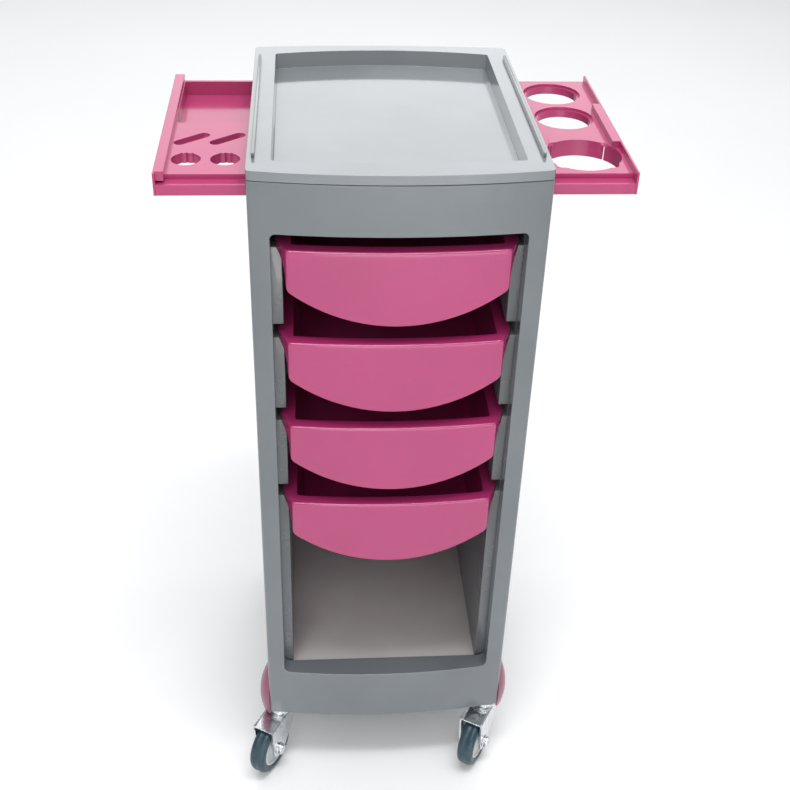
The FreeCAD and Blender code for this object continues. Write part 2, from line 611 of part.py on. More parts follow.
def caster(corner, east, north):
    """Swivel caster: stem and fixed race, fork and turning race, axle, hub and tyre.

    Each piece is drawn about the stem with the wheel towards +X, then turned and placed.
    """
    name = f"{corner}_caster"
    heading = f"{corner}_heading"
    turned_round = FreeCAD.Rotation(FreeCAD.Vector(0, 0, 1), SIZES[heading])
    along_y = ((1, 0, 0), 90)

    def finish(item, piece):
        item.Placement.Rotation = turned_round
        place(item, f"{east} * stem_x", f"{north} * stem_y", 0)
        return sub_part(item, f"{name}_{piece}")

    race_top = "floor_gap - 0.4"
    stem = fuse(
        f"{name}_stem_solid",
        rod(f"{name}_race", "race_radius", f"{race_top} - race_foot", 0, 0, "race_foot"),
        rod(f"{name}_collar", 9, f"floor_gap + base_rise - ({race_top})", 0, 0, race_top),
        rod(f"{name}_thread", "stem_radius - 0.1", "stem_top - race_foot", 0, 0, "race_foot"),
        rod(f"{name}_rivet", 4, "race_foot - fork_top + 6", 0, 0, "fork_top - 6"),
        rod(f"{name}_rivet_head", 7, 3, 0, 0, "fork_top - fork_wall - 3.6"),
    )
    finish(stem, "stem")

    fork = doc.addObject("PartDesign::Body", f"{name}_fork_body")
    legs = [
        ("-17", "fork_top"), ("wheel_trail + 15", "fork_top"), ("wheel_trail + 15", "fork_top - 12"),
        ("wheel_trail + 12", "wheel_radius"), ("wheel_trail + 8", "wheel_radius - 9"),
        ("wheel_trail", "wheel_radius - 12"), ("wheel_trail - 8", "wheel_radius - 9"),
        ("wheel_trail - 12", "wheel_radius"), ("-17", "fork_top - 14"),
    ]
    extruded(fork, "Pad", f"{name}_fork_block", "XZ_Plane", legs, "2 * fork_half")
    doc.recompute()
    gap = [("-60", "0"), ("90", "0"), ("90", "fork_top - fork_wall"), ("-60", "fork_top - fork_wall")]
    extruded(fork, "Pocket", f"{name}_fork_gap", "XZ_Plane", gap, "2 * (fork_half - fork_wall)")
    axle_hole = rod(f"{name}_axle_hole", "axle_radius", 60, "wheel_trail", 30, "wheel_radius", along_y)
    rivet_hole = rod(f"{name}_rivet_hole", 4.08, 40, 0, 0, "fork_top - 20")
    turning_race = rod(f"{name}_turning_race", "race_radius - 1.5", "race_foot - fork_top - 0.4",
                       0, 0, "fork_top - 0.1")
    whole_fork = fuse(f"{name}_fork_whole", fork, turning_race)
    finish(cut(f"{name}_fork_cut", whole_fork, axle_hole, rivet_hole), "fork")

    reach = "fork_half + 6.5"
    axle = fuse(
        f"{name}_axle_solid",
        rod(f"{name}_bolt", "axle_radius", f"2 * ({reach}) - 3", "wheel_trail", f"{reach} - 3",
            "wheel_radius", along_y),
        hexagon(f"{name}_bolt_head", 13, "6.3", "wheel_trail", f"{reach}", "wheel_radius", along_y),
        hexagon(f"{name}_nut", 13, "5.5", "wheel_trail", "-fork_half - 0.2", "wheel_radius", along_y),
    )
    finish(axle, "axle")

    hub = doc.addObject("PartDesign::Body", f"{name}_hub_body")
    turned(hub, f"{name}_hub_disc", [
        ("axle_radius + 0.08", "-(fork_half - fork_wall - 0.4)"), ("9", "-(fork_half - fork_wall - 0.4)"),
        ("11", "-(wheel_width / 2 - 3)"), ("tyre_inner - 4", "-(wheel_width / 2 - 3)"),
        ("tyre_inner - 3", "-(wheel_width / 2 - 1)"), ("tyre_inner", "-(wheel_width / 2 - 1)"),
        ("tyre_inner", "wheel_width / 2 - 1"), ("tyre_inner - 3", "wheel_width / 2 - 1"),
        ("tyre_inner - 4", "wheel_width / 2 - 3"), ("11", "wheel_width / 2 - 3"),
        ("9", "fork_half - fork_wall - 0.4"), ("axle_radius + 0.08", "fork_half - fork_wall - 0.4"),
    ])
    tyre = doc.addObject("PartDesign::Body", f"{name}_tyre_body")
    turned(tyre, f"{name}_tyre_ring", [
        ("tyre_inner", "-(wheel_width / 2 - 1)"), ("tyre_inner + 2", "-wheel_width / 2"),
        ("wheel_radius - 5", "-wheel_width / 2"), ("wheel_radius - 1.5", "-(wheel_width / 2 - 3)"),
        ("wheel_radius", "-(wheel_width / 2 - 7)"), ("wheel_radius", "wheel_width / 2 - 7"),
        ("wheel_radius - 1.5", "wheel_width / 2 - 3"), ("wheel_radius - 5", "wheel_width / 2"),
        ("tyre_inner + 2", "wheel_width / 2"), ("tyre_inner", "wheel_width / 2 - 1"),
    ])
    for wheel_part, piece in ((hub, "hub"), (tyre, "tyre")):
        wheel_part.Placement.Rotation = turned_round.multiply(FreeCAD.Rotation(FreeCAD.Vector(1, 0, 0), 90))
        place(wheel_part, f"{east} * stem_x + wheel_trail * cos({heading})",
              f"{north} * stem_y + wheel_trail * sin({heading})", "wheel_radius")
        sub_part(wheel_part, f"{name}_{piece}")


def barrel(body, name, thinner, foot, top):
    """A barrel about the body's Z axis whose radius swells between its ends."""
    side = []
    for step in range(CAP_STEPS + 1):
        level = f"(({foot}) + {step / CAP_STEPS} * (({top}) - ({foot})))"
        swell = f"cap_bulge * (1 - (({level} - cap_level) / cap_half)^2)"
        side.append((f"{HALF_WIDTH} - stem_x + {swell} - {thinner}", level))
    return turned(body, name, [("0", foot)] + side + [("0", top)])


def caster_cap(corner, east, north):
    """Hollow swollen cover over a caster socket: the part of a barrel outside the side panel."""
    shells = []
    for kind, thinner, foot, top in (
        ("dome", "0", "cap_foot", "cap_level + cap_half - 0.5"),
        ("hollow", "cap_wall", "cap_foot - 1", "cap_level + cap_half - 4"),
    ):
        body = doc.addObject("PartDesign::Body", f"{corner}_cap_{kind}")
        barrel(body, f"{corner}_cap_{kind}_turn", thinner, foot, top)
        shells.append(place(body, f"{east} * stem_x", f"{north} * cap_axis"))
    half = box(f"{corner}_cap_side", mirrored(east, HALF_WIDTH, f"{HALF_WIDTH} + 50"), both(REACH), (0, REACH))
    dome = common(f"{corner}_cap_cut", cut(f"{corner}_cap_shell", *shells), half)
    return sub_part(dome, f"{corner}_caster_cap")


# ---------------------------------------------------------------- fasteners

def screw_group(label, spots, radius, head, length, turn, step):
    """Identical pan-head screws, as one node; step is the way their shanks run."""
    screws = []
    for index, spot in enumerate(spots):
        start = [f"({value}) - 0.1 * {along}" for value, along in zip(spot, step)]
        screws.append(fuse(
            f"{label}_{index}",
            rod(f"{label}_head_{index}", head, 1.8, *[f"({v}) - 1.8 * {s}" for v, s in zip(spot, step)], turn),
            rod(f"{label}_shank_{index}", radius, length, *start, turn),
        ))
    group = doc.addObject("Part::Compound", label + "_group")
    group.Links = screws
    return sub_part(group, label)


def caster_nuts():
    """Lock nuts on the caster stems, above the bosses."""
    nuts = []
    for corner, (east, north) in CORNERS.items():
        spot = (f"{east} * stem_x", f"{north} * stem_y")
        low = "floor_gap + base_rise + 22"
        nuts.append(cut(f"{corner}_nut", hexagon(f"{corner}_nut_body", 16, 5, *spot, low),
                        rod(f"{corner}_nut_bore", "stem_radius", 10, *spot, f"{low} - 1")))
    group = doc.addObject("Part::Compound", "caster_nut_group")
    group.Links = nuts
    return sub_part(group, "caster_nuts")


# ---------------------------------------------------------------- assembly

front_frame()
back_panel()
top_lid()
base_pan()
flat_floor("shelf", "bottom_shelf", ("shelf_top - skin", "shelf_top"))
flat_floor("deck", "tray_deck", ("deck_top - skin", "deck_top"))
for side, sign in SIDES.items():
    side_panel(side, sign)
    guide_panel(side, sign)
tray_channel("front", -1, "tray_front", "tray_land_front")
tray_channel("back", 1, "tray_back", "tray_land_back")
for number in range(1, 5):
    drawer(number)
left_tool_tray()
right_cup_tray()
for corner, (east, north) in CORNERS.items():
    caster(corner, east, north)
    caster_cap(corner, east, north)
caster_nuts()

BACK_SCREW_ROWS = (130, 365, 600, 835)
back_face = f"{HALF_DEPTH} + 1.6"
screw_group("back_panel_screws",
            [(x, back_face, z) for x in (-140, 140) for z in BACK_SCREW_ROWS],
            1.6, 3.6, 8, ((1, 0, 0), 90), (0, -1, 0))
screw_group("base_screws",
            [(x, y, "floor_gap + base_rise") for x in (-110, 0, 110) for y in (-140, 140)],
            1.8, 4.2, 2.8, None, (0, 0, 1))

doc.recompute()

faults = [item.Name for item in doc.Objects if {"Invalid", "Error"} & set(item.State)]
for item in sub_parts:
    if item.Shape.isNull() or not item.Shape.isValid() or not item.Shape.Solids:
        faults.append(item.Label)
if faults:
    raise SystemExit("not written, these failed: " + ", ".join(faults))

os.makedirs("parts", exist_ok=True)
for item in sub_parts:
    item.Shape.exportStep(f"parts/{item.Label}.step")
    print(f"{item.Label:28s} {item.Shape.Volume / 1000:9.2f} cm3  {len(item.Shape.Solids)} solid(s)")
print(len(sub_parts), "nodes")
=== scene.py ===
# %% [markdown]
# # Spa trolley
# A tall moulded trolley on four swivel casters. Grey plastic mouldings make the cabinet, four
# pink drawers hang between two inner panels, and a pink tray pulls out of each side.
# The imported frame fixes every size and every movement, so it is loaded first and never changed.

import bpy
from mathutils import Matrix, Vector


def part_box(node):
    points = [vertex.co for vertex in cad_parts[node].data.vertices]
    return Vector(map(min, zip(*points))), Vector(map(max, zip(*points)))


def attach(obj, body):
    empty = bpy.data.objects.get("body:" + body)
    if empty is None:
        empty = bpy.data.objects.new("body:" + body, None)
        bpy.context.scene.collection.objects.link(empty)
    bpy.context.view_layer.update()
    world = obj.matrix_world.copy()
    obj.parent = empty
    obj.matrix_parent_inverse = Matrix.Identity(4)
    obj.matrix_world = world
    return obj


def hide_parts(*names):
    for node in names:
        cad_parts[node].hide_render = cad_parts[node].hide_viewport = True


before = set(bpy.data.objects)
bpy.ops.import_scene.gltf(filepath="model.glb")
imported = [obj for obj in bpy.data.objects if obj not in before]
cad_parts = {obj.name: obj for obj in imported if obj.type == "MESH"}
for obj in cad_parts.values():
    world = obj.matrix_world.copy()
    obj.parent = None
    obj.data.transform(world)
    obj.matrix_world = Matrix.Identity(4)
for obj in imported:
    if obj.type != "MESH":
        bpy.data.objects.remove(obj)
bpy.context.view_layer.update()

# %% Names used all through
import math

import bmesh
import bpy
from mathutils import Matrix, Vector

MM = 0.001
SIDES = {"left": -1, "right": 1}
CORNERS = {"front_left": (-1, -1), "front_right": (1, -1), "rear_left": (-1, 1), "rear_right": (1, 1)}
UP, FRONT = Vector((0, 0, 1)), Vector((0, -1, 0))


def node_box(node):
    """Lowest and highest corner of a frame node, in millimetres."""
    low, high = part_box(node)
    return low / MM, high / MM


# %% [markdown]
# ## Shader maths
# A finish is a network of nodes. Writing it as plain arithmetic keeps it readable: one small
# class wraps an output socket, and each operator adds the Math node it stands for.

# %% A socket that can be added and multiplied
class Value:
    """A number that varies over a surface."""

    def __init__(self, finish, socket):
        self.finish, self.socket = finish, socket

    def _math(self, operation, first, second):
        return self.finish.node("ShaderNodeMath", {"operation": operation}, {0: first, 1: second})

    def __add__(self, other):
        return self._math("ADD", self, other)

    def __radd__(self, other):
        return self._math("ADD", other, self)

    def __sub__(self, other):
        return self._math("SUBTRACT", self, other)

    def __rsub__(self, other):
        return self._math("SUBTRACT", other, self)

    def __mul__(self, other):
        return self._math("MULTIPLY", self, other)

    def __rmul__(self, other):
        return self._math("MULTIPLY", other, self)


# %% A finish, and the one way to add a node to it
class Finish:
    """A material with a Principled shader whose nodes are added by node()."""

    def __init__(self, name, **constants):
        plain = bpy.data.materials.get(name)
        if plain:
            plain.name = name + "_plain"
        self.material = bpy.data.materials.new(name)
        self.material.use_nodes = True
        self.tree = self.material.node_tree
        self.shader = self.tree.nodes["Principled BSDF"]
        for socket, value in constants.items():
            self.shader.inputs[socket.replace("_", " ")].default_value = value
        self.place = self.node("ShaderNodeTexCoord", output="Object")

    def node(self, kind, settings=None, inputs=None, output=0):
        """Add a node: its settings first, then the values or links of its sockets."""
        made = self.tree.nodes.new(kind)
        for name, value in (settings or {}).items():
            if name == "stops":
                for stop, (position, colour) in zip(made.color_ramp.elements, value):
                    stop.position, stop.color = position, (*colour, 1)
            else:
                setattr(made, name, value)
        for name, value in (inputs or {}).items():
            self.feed(made.inputs[name], value)
        return Value(self, made.outputs[output])

    def feed(self, socket, value):
        if isinstance(value, Value):
            self.tree.links.new(value.socket, socket)
        else:
            socket.default_value = value

    def wears(self, **inputs):
        """Link or set inputs of the shader."""
        for name, value in inputs.items():
            self.feed(self.shader.inputs[name.replace("_", " ")], value)
        return self.material

    def noise(self, scale, detail=2, stretch=(1, 1, 1)):
        """Soft noise from 0 to 1, with that many bumps to the metre."""
        where = self.node("ShaderNodeMapping", {}, {"Vector": self.place, "Scale": stretch})
        return self.node("ShaderNodeTexNoise", {}, {"Vector": where, "Scale": scale, "Detail": detail})

    def spread(self, value, low, high, to_low=0.0, to_high=1.0):
        """Stretch a range of a value, and clip what falls outside it."""
        return self.node("ShaderNodeMapRange", {"clamp": True},
                         {0: value, 1: low, 2: high, 3: to_low, 4: to_high})

    def blend(self, mask, first, second):
        """One colour where the mask is 0 and the other where it is 1."""
        return self.node("ShaderNodeMix", {"data_type": "RGBA"}, {0: mask, 6: first, 7: second}, 2)

    def bump(self, height, distance, strength=1.0):
        return self.node("ShaderNodeBump", {}, {"Height": height, "Distance": distance, "Strength": strength})


def tint(colour, factor=1.0):
    return tuple(min(1, part * factor) for part in colour) + (1,)


# %% [markdown]
# ## Moulded plastic
# Every large piece is injection-moulded plastic with a polished skin. Up close such a skin has
# four things: slight cloudiness in the pigment, wide shallow waves where the walls shrank, a
# fine orange peel, and hair scratches with rubbed patches that dull the gloss. One function
# gives all of them, so the greys and pinks differ only in their numbers.

# %% Plastic
def plastic(name, colour, gloss=0.2, wave=0.00005, cloud=0.06, coat=0.35, scuff=0.04, shine=0.5):
    finish = Finish(name, Coat_Weight=coat, Coat_Roughness=0.06, Specular_IOR_Level=shine)
    clouds = finish.noise(9, 3)
    specks = finish.noise(420, 2)
    body = finish.blend(finish.spread(clouds, 0.35, 0.68), tint(colour, 1 - cloud), tint(colour, 1 + cloud))
    dusty = finish.spread(specks * 0.6 + finish.noise(30, 4) * 0.4, 0.62, 0.75, 0, 0.06)
    pale = tint([0.55 * part + 0.4 for part in colour])
    scratches = finish.spread(finish.noise(160, 2, (1, 1, 0.03)), 0.68, 0.78)
    rubbed = finish.spread(finish.noise(14, 4), 0.5, 0.75)
    rough = gloss + rubbed * scuff + scratches * 0.05 + (specks - 0.5) * 0.04
    ripple = finish.bump(finish.noise(16, 1), wave)
    peel = finish.noise(900, 1) * 0.85 + scratches * 0.15
    skin = finish.node("ShaderNodeBump", {}, {"Height": peel, "Distance": 0.000012, "Normal": ripple})
    return finish.wears(Base_Color=finish.blend(dusty, body, pale), Roughness=rough, Normal=skin)


cabinet_grey = plastic("cabinet_grey", (0.142, 0.158, 0.168))
lid_grey = plastic("lid_grey", (0.19, 0.208, 0.22), gloss=0.1, coat=0.5)
# a darker copy of the cabinet grey: painted shade for the inner panels, base, deck and channels, which sit in
# the cabinet's shade
inner_grey = plastic("inner_grey", (0.115, 0.125, 0.132), gloss=0.26)
# the shelf's pale grey is painted light: far lighter than the cabinet grey, it stands in for the light and
# reflections that fall on the glossy shelf
shelf_grey = plastic("shelf_grey", (0.6, 0.588, 0.57), gloss=0.12)
drawer_pink = plastic("drawer_pink", (0.385, 0.027, 0.135), gloss=0.14, cloud=0.04, coat=0.6)
tray_pink = plastic("tray_pink", (0.42, 0.05, 0.15), gloss=0.14, cloud=0.04, coat=0.12, shine=0.3)
# a darker copy of the pink: painted shade for the caps, which sit in the shadow of the frame
cap_pink = plastic("cap_pink", (0.22, 0.032, 0.09), gloss=0.34, cloud=0.05)
plastics = (cabinet_grey, lid_grey, inner_grey, shelf_grey, drawer_pink, tray_pink, cap_pink)
print("plastics:", [finish.name for finish in plastics])

# %% [markdown]
# ## Zinc, nylon and rubber
# The casters bring three more finishes. Bright zinc plating is a metal whose gloss runs in
# faint streaks from the press; the hub is dull nylon; the tyre is dark blue-grey rubber, glossy
# where it was moulded and dusty where it rolls.

# %% Zinc
def zinc_plating():
    finish = Finish("zinc", Metallic=1.0)
    streaks = finish.noise(240, 3, (1, 1, 0.12))
    spangle = finish.node("ShaderNodeTexVoronoi", {}, {"Vector": finish.place, "Scale": 330.0})
    tone = finish.spread(streaks * 0.7 + spangle * 0.3, 0.2, 0.7)
    colour = finish.blend(tone, (0.5, 0.52, 0.55, 1), (0.82, 0.83, 0.84, 1))
    rough = 0.16 + streaks * 0.16 + finish.spread(finish.noise(60, 4), 0.55, 0.7) * 0.18
    return finish.wears(Base_Color=colour, Roughness=rough, Normal=finish.bump(streaks, 0.00003))


zinc = zinc_plating()


# %% Nylon and rubber
def nylon():
    finish = Finish("hub_grey", Specular_IOR_Level=0.5)
    grain = finish.noise(700, 2)
    tone = finish.spread(finish.noise(40, 3), 0.3, 0.7)
    colour = finish.blend(tone, (0.42, 0.44, 0.45, 1), (0.6, 0.61, 0.61, 1))
    return finish.wears(Base_Color=colour, Roughness=0.34 + grain * 0.2, Normal=finish.bump(grain, 0.00002))


def rubber():
    finish = Finish("tyre_rubber", Specular_IOR_Level=0.5)
    fine = finish.noise(520, 3)
    dust = finish.spread(finish.noise(55, 5), 0.48, 0.74)
    colour = finish.blend(dust * 0.35, (0.012, 0.042, 0.062, 1), (0.1, 0.13, 0.135, 1))
    rough = 0.3 + dust * 0.26 + fine * 0.1
    return finish.wears(Base_Color=colour, Roughness=rough, Normal=finish.bump(fine, 0.00005))


hub_grey = nylon()
tyre_rubber = rubber()
print("hardware finishes:", zinc.name, hub_grey.name, tyre_rubber.name)

# %% [markdown]
# ## Tools for sheets
# Nearly every piece is a thin moulded sheet. Such a piece could be carved from a block, but it
# is quicker and cleaner to make one skin: a grid laid on chosen lines, its edges pulled out and
# folded, its corners rounded, and a wall thickness added by a modifier at the end. These few
# helpers do that, in millimetres.

# %% Make, pull, fold and round
def lattice(columns, rows):
    """A flat grid whose lines lie on the given x and y values."""
    bm = bmesh.new()
    bmesh.ops.create_grid(bm, x_segments=len(columns) - 1, y_segments=len(rows) - 1, size=1)
    for vert in bm.verts:
        column = round((vert.co.x + 1) / 2 * (len(columns) - 1))
        row = round((vert.co.y + 1) / 2 * (len(rows) - 1))
        vert.co = (columns[column], rows[row], 0)
    return bm


def evenly(low, high, count):
    return [low + (high - low) * step / count for step in range(count + 1)]


def bulge(x, half, rise):
    """How far a shallow arc over that half width stands out at x."""
    radius = (half**2 + rise**2) / (2 * rise)
    return math.sqrt(radius**2 - min(abs(x), half) ** 2) - (radius - rise)


def open_edges(bm, test=lambda middle: True):
    """Edges with one face whose middle passes the test."""
    return [e for e in bm.edges if e.is_boundary and test((e.verts[0].co + e.verts[1].co) / 2)]


def pull(bm, edges, by=(0, 0, 0)):
    """Extrude edges; returns the new edges and the new vertices."""
    made = bmesh.ops.extrude_edge_only(bm, edges=edges)["geom"]
    verts = [g for g in made if isinstance(g, bmesh.types.BMVert)]
    bmesh.ops.translate(bm, vec=by, verts=verts)
    fresh = set(verts)
    return [e for e in bm.edges if e.verts[0] in fresh and e.verts[1] in fresh], verts


def sink(bm, faces, depth, draft=(1, 1), middle=(0, 0, 0)):
    """Push faces down, leaving walls that lean in by the draft factors."""
    made = bmesh.ops.extrude_face_region(bm, geom=faces)["geom"]
    verts = [g for g in made if isinstance(g, bmesh.types.BMVert)]
    bmesh.ops.delete(bm, geom=[f for f in faces if f.is_valid], context="FACES")
    bmesh.ops.scale(bm, vec=(*draft, 1), space=Matrix.Translation(-Vector(middle)), verts=verts)
    bmesh.ops.translate(bm, vec=(0, 0, -depth), verts=verts)
    return verts


def along(edge, axis, share=0.9):
    """True if an edge runs along an axis."""
    run = edge.verts[1].co - edge.verts[0].co
    return run.length > 1e-6 and abs(run[axis]) / run.length > share


def round_off(bm, edges, radius, segments=4):
    bmesh.ops.bevel(bm, geom=list(edges), offset=radius, segments=segments, profile=0.5,
                    affect="EDGES", clamp_overlap=True, material=-1)


def roll_over(bm, edges, radius, steps=5):
    """Turn the open edge of a level sheet down through a quarter circle inside its outline."""
    ring, away = set(edges), {}
    for edge in ring:
        middle = (edge.verts[0].co + edge.verts[1].co) / 2
        outward = (edge.verts[1].co - edge.verts[0].co).cross(UP).normalized()
        if outward.dot(middle - edge.link_faces[0].calc_center_median()) < 0:
            outward.negate()
        for vert in edge.verts:
            away.setdefault(vert, []).append(outward)
    spots = {}
    for vert, (first, second) in away.items():
        mitre = (first + second) / (1 + first.dot(second)) * radius
        vert.co -= mitre
        spots[tuple(vert.co)] = (vert.co.copy(), mitre)
    for step in range(1, steps + 1):
        turn = math.pi / 2 * step / steps
        edges, verts = pull(bm, edges)
        onward = {}
        for vert in verts:
            foot, mitre = spots[tuple(vert.co)]
            vert.co = foot + mitre * math.sin(turn) - UP * radius * (1 - math.cos(turn))
            onward[tuple(vert.co)] = (foot, mitre)
        spots = onward
    return edges


# %% Finish a piece: wall, soft edges, finish and body
def piece(name, bm, body, finish, nodes=(), facing=None, wall=0.0, edge=0.0, segments=3, angle=35):
    """Turn a bmesh in millimetres into a piece that rides on a body.

    facing is a direction that most of an open skin looks in; a closed piece needs none.
    """
    bmesh.ops.remove_doubles(bm, verts=bm.verts, dist=0.002)
    bmesh.ops.recalc_face_normals(bm, faces=bm.faces)
    if facing is not None and sum(f.calc_area() * f.normal.dot(facing) for f in bm.faces) < 0:
        bmesh.ops.reverse_faces(bm, faces=bm.faces)
    bmesh.ops.scale(bm, vec=(MM, MM, MM), verts=bm.verts)
    mesh = bpy.data.meshes.new(name)
    bm.to_mesh(mesh)
    bm.free()
    mesh.shade_smooth()
    mesh.materials.append(finish)
    obj = bpy.data.objects.new(name, mesh)
    bpy.context.scene.collection.objects.link(obj)
    if wall:
        solid = obj.modifiers.new("wall", "SOLIDIFY")
        solid.thickness, solid.offset, solid.use_even_offset = wall * MM, -1, True
    if edge:
        soft = obj.modifiers.new("soft edges", "BEVEL")
        soft.width, soft.segments, soft.limit_method = edge * MM, segments, "ANGLE"
        soft.angle_limit, soft.harden_normals = math.radians(angle), True
    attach(obj, body)
    if nodes:
        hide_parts(*nodes)
    print(f"{name}: {len(mesh.polygons)} faces on {body}")
    return obj


def softened(node, body, finish, edge):
    """A frame node's own shape with merged faces and soft edges."""
    bm = bmesh.new()
    bm.from_mesh(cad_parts[node].data)
    bmesh.ops.remove_doubles(bm, verts=bm.verts, dist=1e-5)
    bmesh.ops.dissolve_limit(bm, angle_limit=math.radians(1), verts=bm.verts, edges=bm.edges)
    bmesh.ops.scale(bm, vec=(1 / MM, 1 / MM, 1 / MM), verts=bm.verts)
    return piece(node + "_moulding", bm, body, finish, (node,), edge=edge, segments=2)


# %% [markdown]
# ## The lid
# The lid is one moulding: a flat rim round a shallow tray, a band that turns down over the
# cabinet, and a raised rail along each side. Its front and back bulge, so a box would not do.
# A grid is bent to the two bows, its middle is sunk for the tray and its outer edge is pulled
# down for the band. The band stops just short of the cabinet, which leaves a fine dark seam.

# %% Lid sizes
SKIN = 3.0
FRONT_BOW, BACK_BOW = 13.0, 7.0
SEAM_GAP = 0.7
RAIL_HEIGHT = 5.5
lid_low, lid_high = node_box("top_lid")
HALF = lid_high.x
LINE = -lid_low.y - FRONT_BOW
SEAM = node_box("front_frame")[1].z
TOP = lid_high.z - RAIL_HEIGHT
RECESS_HALF, RECESS_DEPTH = 130.0, 18.6
RECESS_LINE = LINE - 25


def front_y(x, line=LINE, rise=FRONT_BOW, half=HALF):
    return -(line + bulge(x, half, rise))


# %% Lid skin
def lid():
    columns = [-HALF] + evenly(-RECESS_HALF, RECESS_HALF, 26) + [HALF]
    bm = lattice(columns, [0, 1, 2, 3])
    rows = [
        lambda x: front_y(x),
        lambda x: front_y(x, RECESS_LINE, 6, RECESS_HALF),
        lambda x: -front_y(x, RECESS_LINE, 14, RECESS_HALF),
        lambda x: -front_y(x, LINE, BACK_BOW),
    ]
    for vert in bm.verts:
        vert.co = (vert.co.x, rows[round(vert.co.y)](vert.co.x), TOP)
    pan = [f for f in bm.faces if abs(f.calc_center_median().x) < RECESS_HALF
           and abs(f.calc_center_median().y) < RECESS_LINE * 0.5]
    sink(bm, pan, RECESS_DEPTH, (0.988, 0.99))
    pull(bm, open_edges(bm), (0, 0, SEAM + SEAM_GAP - TOP))
    corners = [e for e in bm.edges if along(e, 2)]
    outer = [e for e in corners if abs(e.verts[0].co.x) > HALF - 1 and abs(e.verts[0].co.y) > LINE - 1]
    inner = [e for e in corners if e.calc_face_angle(0) > 1 and e not in outer]
    round_off(bm, outer, 5, 5)
    round_off(bm, inner, 3, 4)
    return piece("lid_skin", bm, "cabinet", lid_grey, ("top_lid",), UP, SKIN, 1.1)


lid()


# %% Rails on the lid
def rails():
    middle, half, front, back = 148.2, 1.7, -155, 143
    bm = bmesh.new()
    for side in SIDES.values():
        made = bmesh.ops.create_cube(bm, size=1)["verts"]
        bmesh.ops.scale(bm, vec=(2 * half, back - front, RAIL_HEIGHT + 1), verts=made)
        spot = (side * middle, (front + back) / 2, TOP + (RAIL_HEIGHT - 1) / 2)
        bmesh.ops.translate(bm, vec=spot, verts=made)
    round_off(bm, [e for e in bm.edges if along(e, 2)], 1.6, 4)
    tops = [e for e in bm.edges if min(v.co.z for v in e.verts) > TOP + 1]
    round_off(bm, tops, 1.1, 3)
    return piece("lid_rails", bm, "cabinet", lid_grey)


rails()

# %% [markdown]
# ## The front frame
# The front frame is a bowed panel with one tall opening. It could be cut with a boolean, but
# that leaves ragged triangles on the bow. Laying a grid on the lines of the opening and taking
# out the middle gives clean quads, and the wall that lines the opening is pulled straight from
# its edge. A wide soft edge round the opening catches the light as the polished lip does.

# %% Front frame
def front_frame():
    low, high = node_box("front_frame")
    half, foot, head = 133.0, 173.0, 812.0
    columns = [-HALF] + evenly(-half, half, 26) + [HALF]
    bm = lattice(columns, [low.z, foot, head, high.z])
    hole = [f for f in bm.faces if abs(f.calc_center_median().x) < half
            and foot < f.calc_center_median().y < head]
    bmesh.ops.delete(bm, geom=hole, context="FACES")
    for vert in bm.verts:
        vert.co = (vert.co.x, front_y(vert.co.x), vert.co.y)
    lining = open_edges(bm, lambda m: abs(m.x) < half + 1 and low.z + 1 < m.z < high.z - 1)
    sides = open_edges(bm, lambda m: abs(m.x) > HALF - 1)
    for edges in (lining, sides):
        for vert in pull(bm, edges)[1]:
            vert.co.y = high.y
    folds = [e for e in bm.edges if along(e, 1) and e.calc_face_angle(0) > 1]
    round_off(bm, [e for e in folds if e.verts[0].co.z > 400], 6, 6)
    round_off(bm, [e for e in folds if e.is_valid and e.verts[0].co.z < 400], 9, 7)
    upright = [e for e in bm.edges if along(e, 2) and abs(e.verts[0].co.x) > HALF - 1
               and e.calc_face_angle(0) > 1]
    round_off(bm, upright, 4, 5)
    return piece("front_frame_skin", bm, "cabinet", cabinet_grey, ("front_frame",), FRONT, SKIN, 1.4, 4)


front_frame()

# %% [markdown]
# ## Plain panels
# The side walls, back wall, base, shelf, deck and tray channels already have their true shape
# in the frame. Rebuilding them would gain nothing, so a merged copy of each gets the soft edges
# that every moulding has, and the seams between neighbours show as fine grooves.

# %% Panels
for node, finish, edge in (
    ("left_side_panel", cabinet_grey, 0.8),
    ("right_side_panel", cabinet_grey, 0.8),
    ("back_panel", cabinet_grey, 0.8),
    # the inner pieces wear the darker grey with painted shade
    ("base_pan", inner_grey, 0.6),
    # the shelf wears the pale grey with painted light
    ("bottom_shelf", shelf_grey, 0.6),
    ("tray_deck", inner_grey, 0.6),
    ("left_guide_panel", inner_grey, 0.9),
    ("right_guide_panel", inner_grey, 0.9),
    ("front_tray_channel", inner_grey, 0.5),
    ("back_tray_channel", inner_grey, 0.5),
):
    softened(node, "cabinet", finish, edge)

# %% [markdown]
# ## Ledge tips
# Each drawer's rim slides on a ledge of the inner panels, and the front of every ledge ends in
# a small rounded pad that guides the rim in. The pads are short rounded blocks, all alike.

# %% Ledge tips
PITCH = 111.0
RIM_TOP = node_box("drawer_1")[1].z
LEDGE_DROP = 7.0
PAD_SIZE = Vector((11.4, 14, 6.4))
PAD_MIDDLE, PAD_SETBACK = 127.7, 0.6


def ledge_tips(side, sign):
    low, high = node_box(f"{side}_guide_panel")
    ledge = RIM_TOP - LEDGE_DROP + 0.1
    bm = bmesh.new()
    for level in range(4):
        made = bmesh.ops.create_cube(bm, size=1)["verts"]
        bmesh.ops.scale(bm, vec=PAD_SIZE, verts=made)
        middle_z = ledge - level * PITCH - PAD_SIZE.z / 2
        spot = (sign * PAD_MIDDLE, low.y + PAD_SIZE.y / 2 + PAD_SETBACK, middle_z)
        bmesh.ops.translate(bm, vec=spot, verts=made)
    round_off(bm, bm.edges, 1.2, 3)
    return piece(f"{side}_ledge_tips", bm, "cabinet", cabinet_grey)


for side, sign in SIDES.items():
    ledge_tips(side, sign)

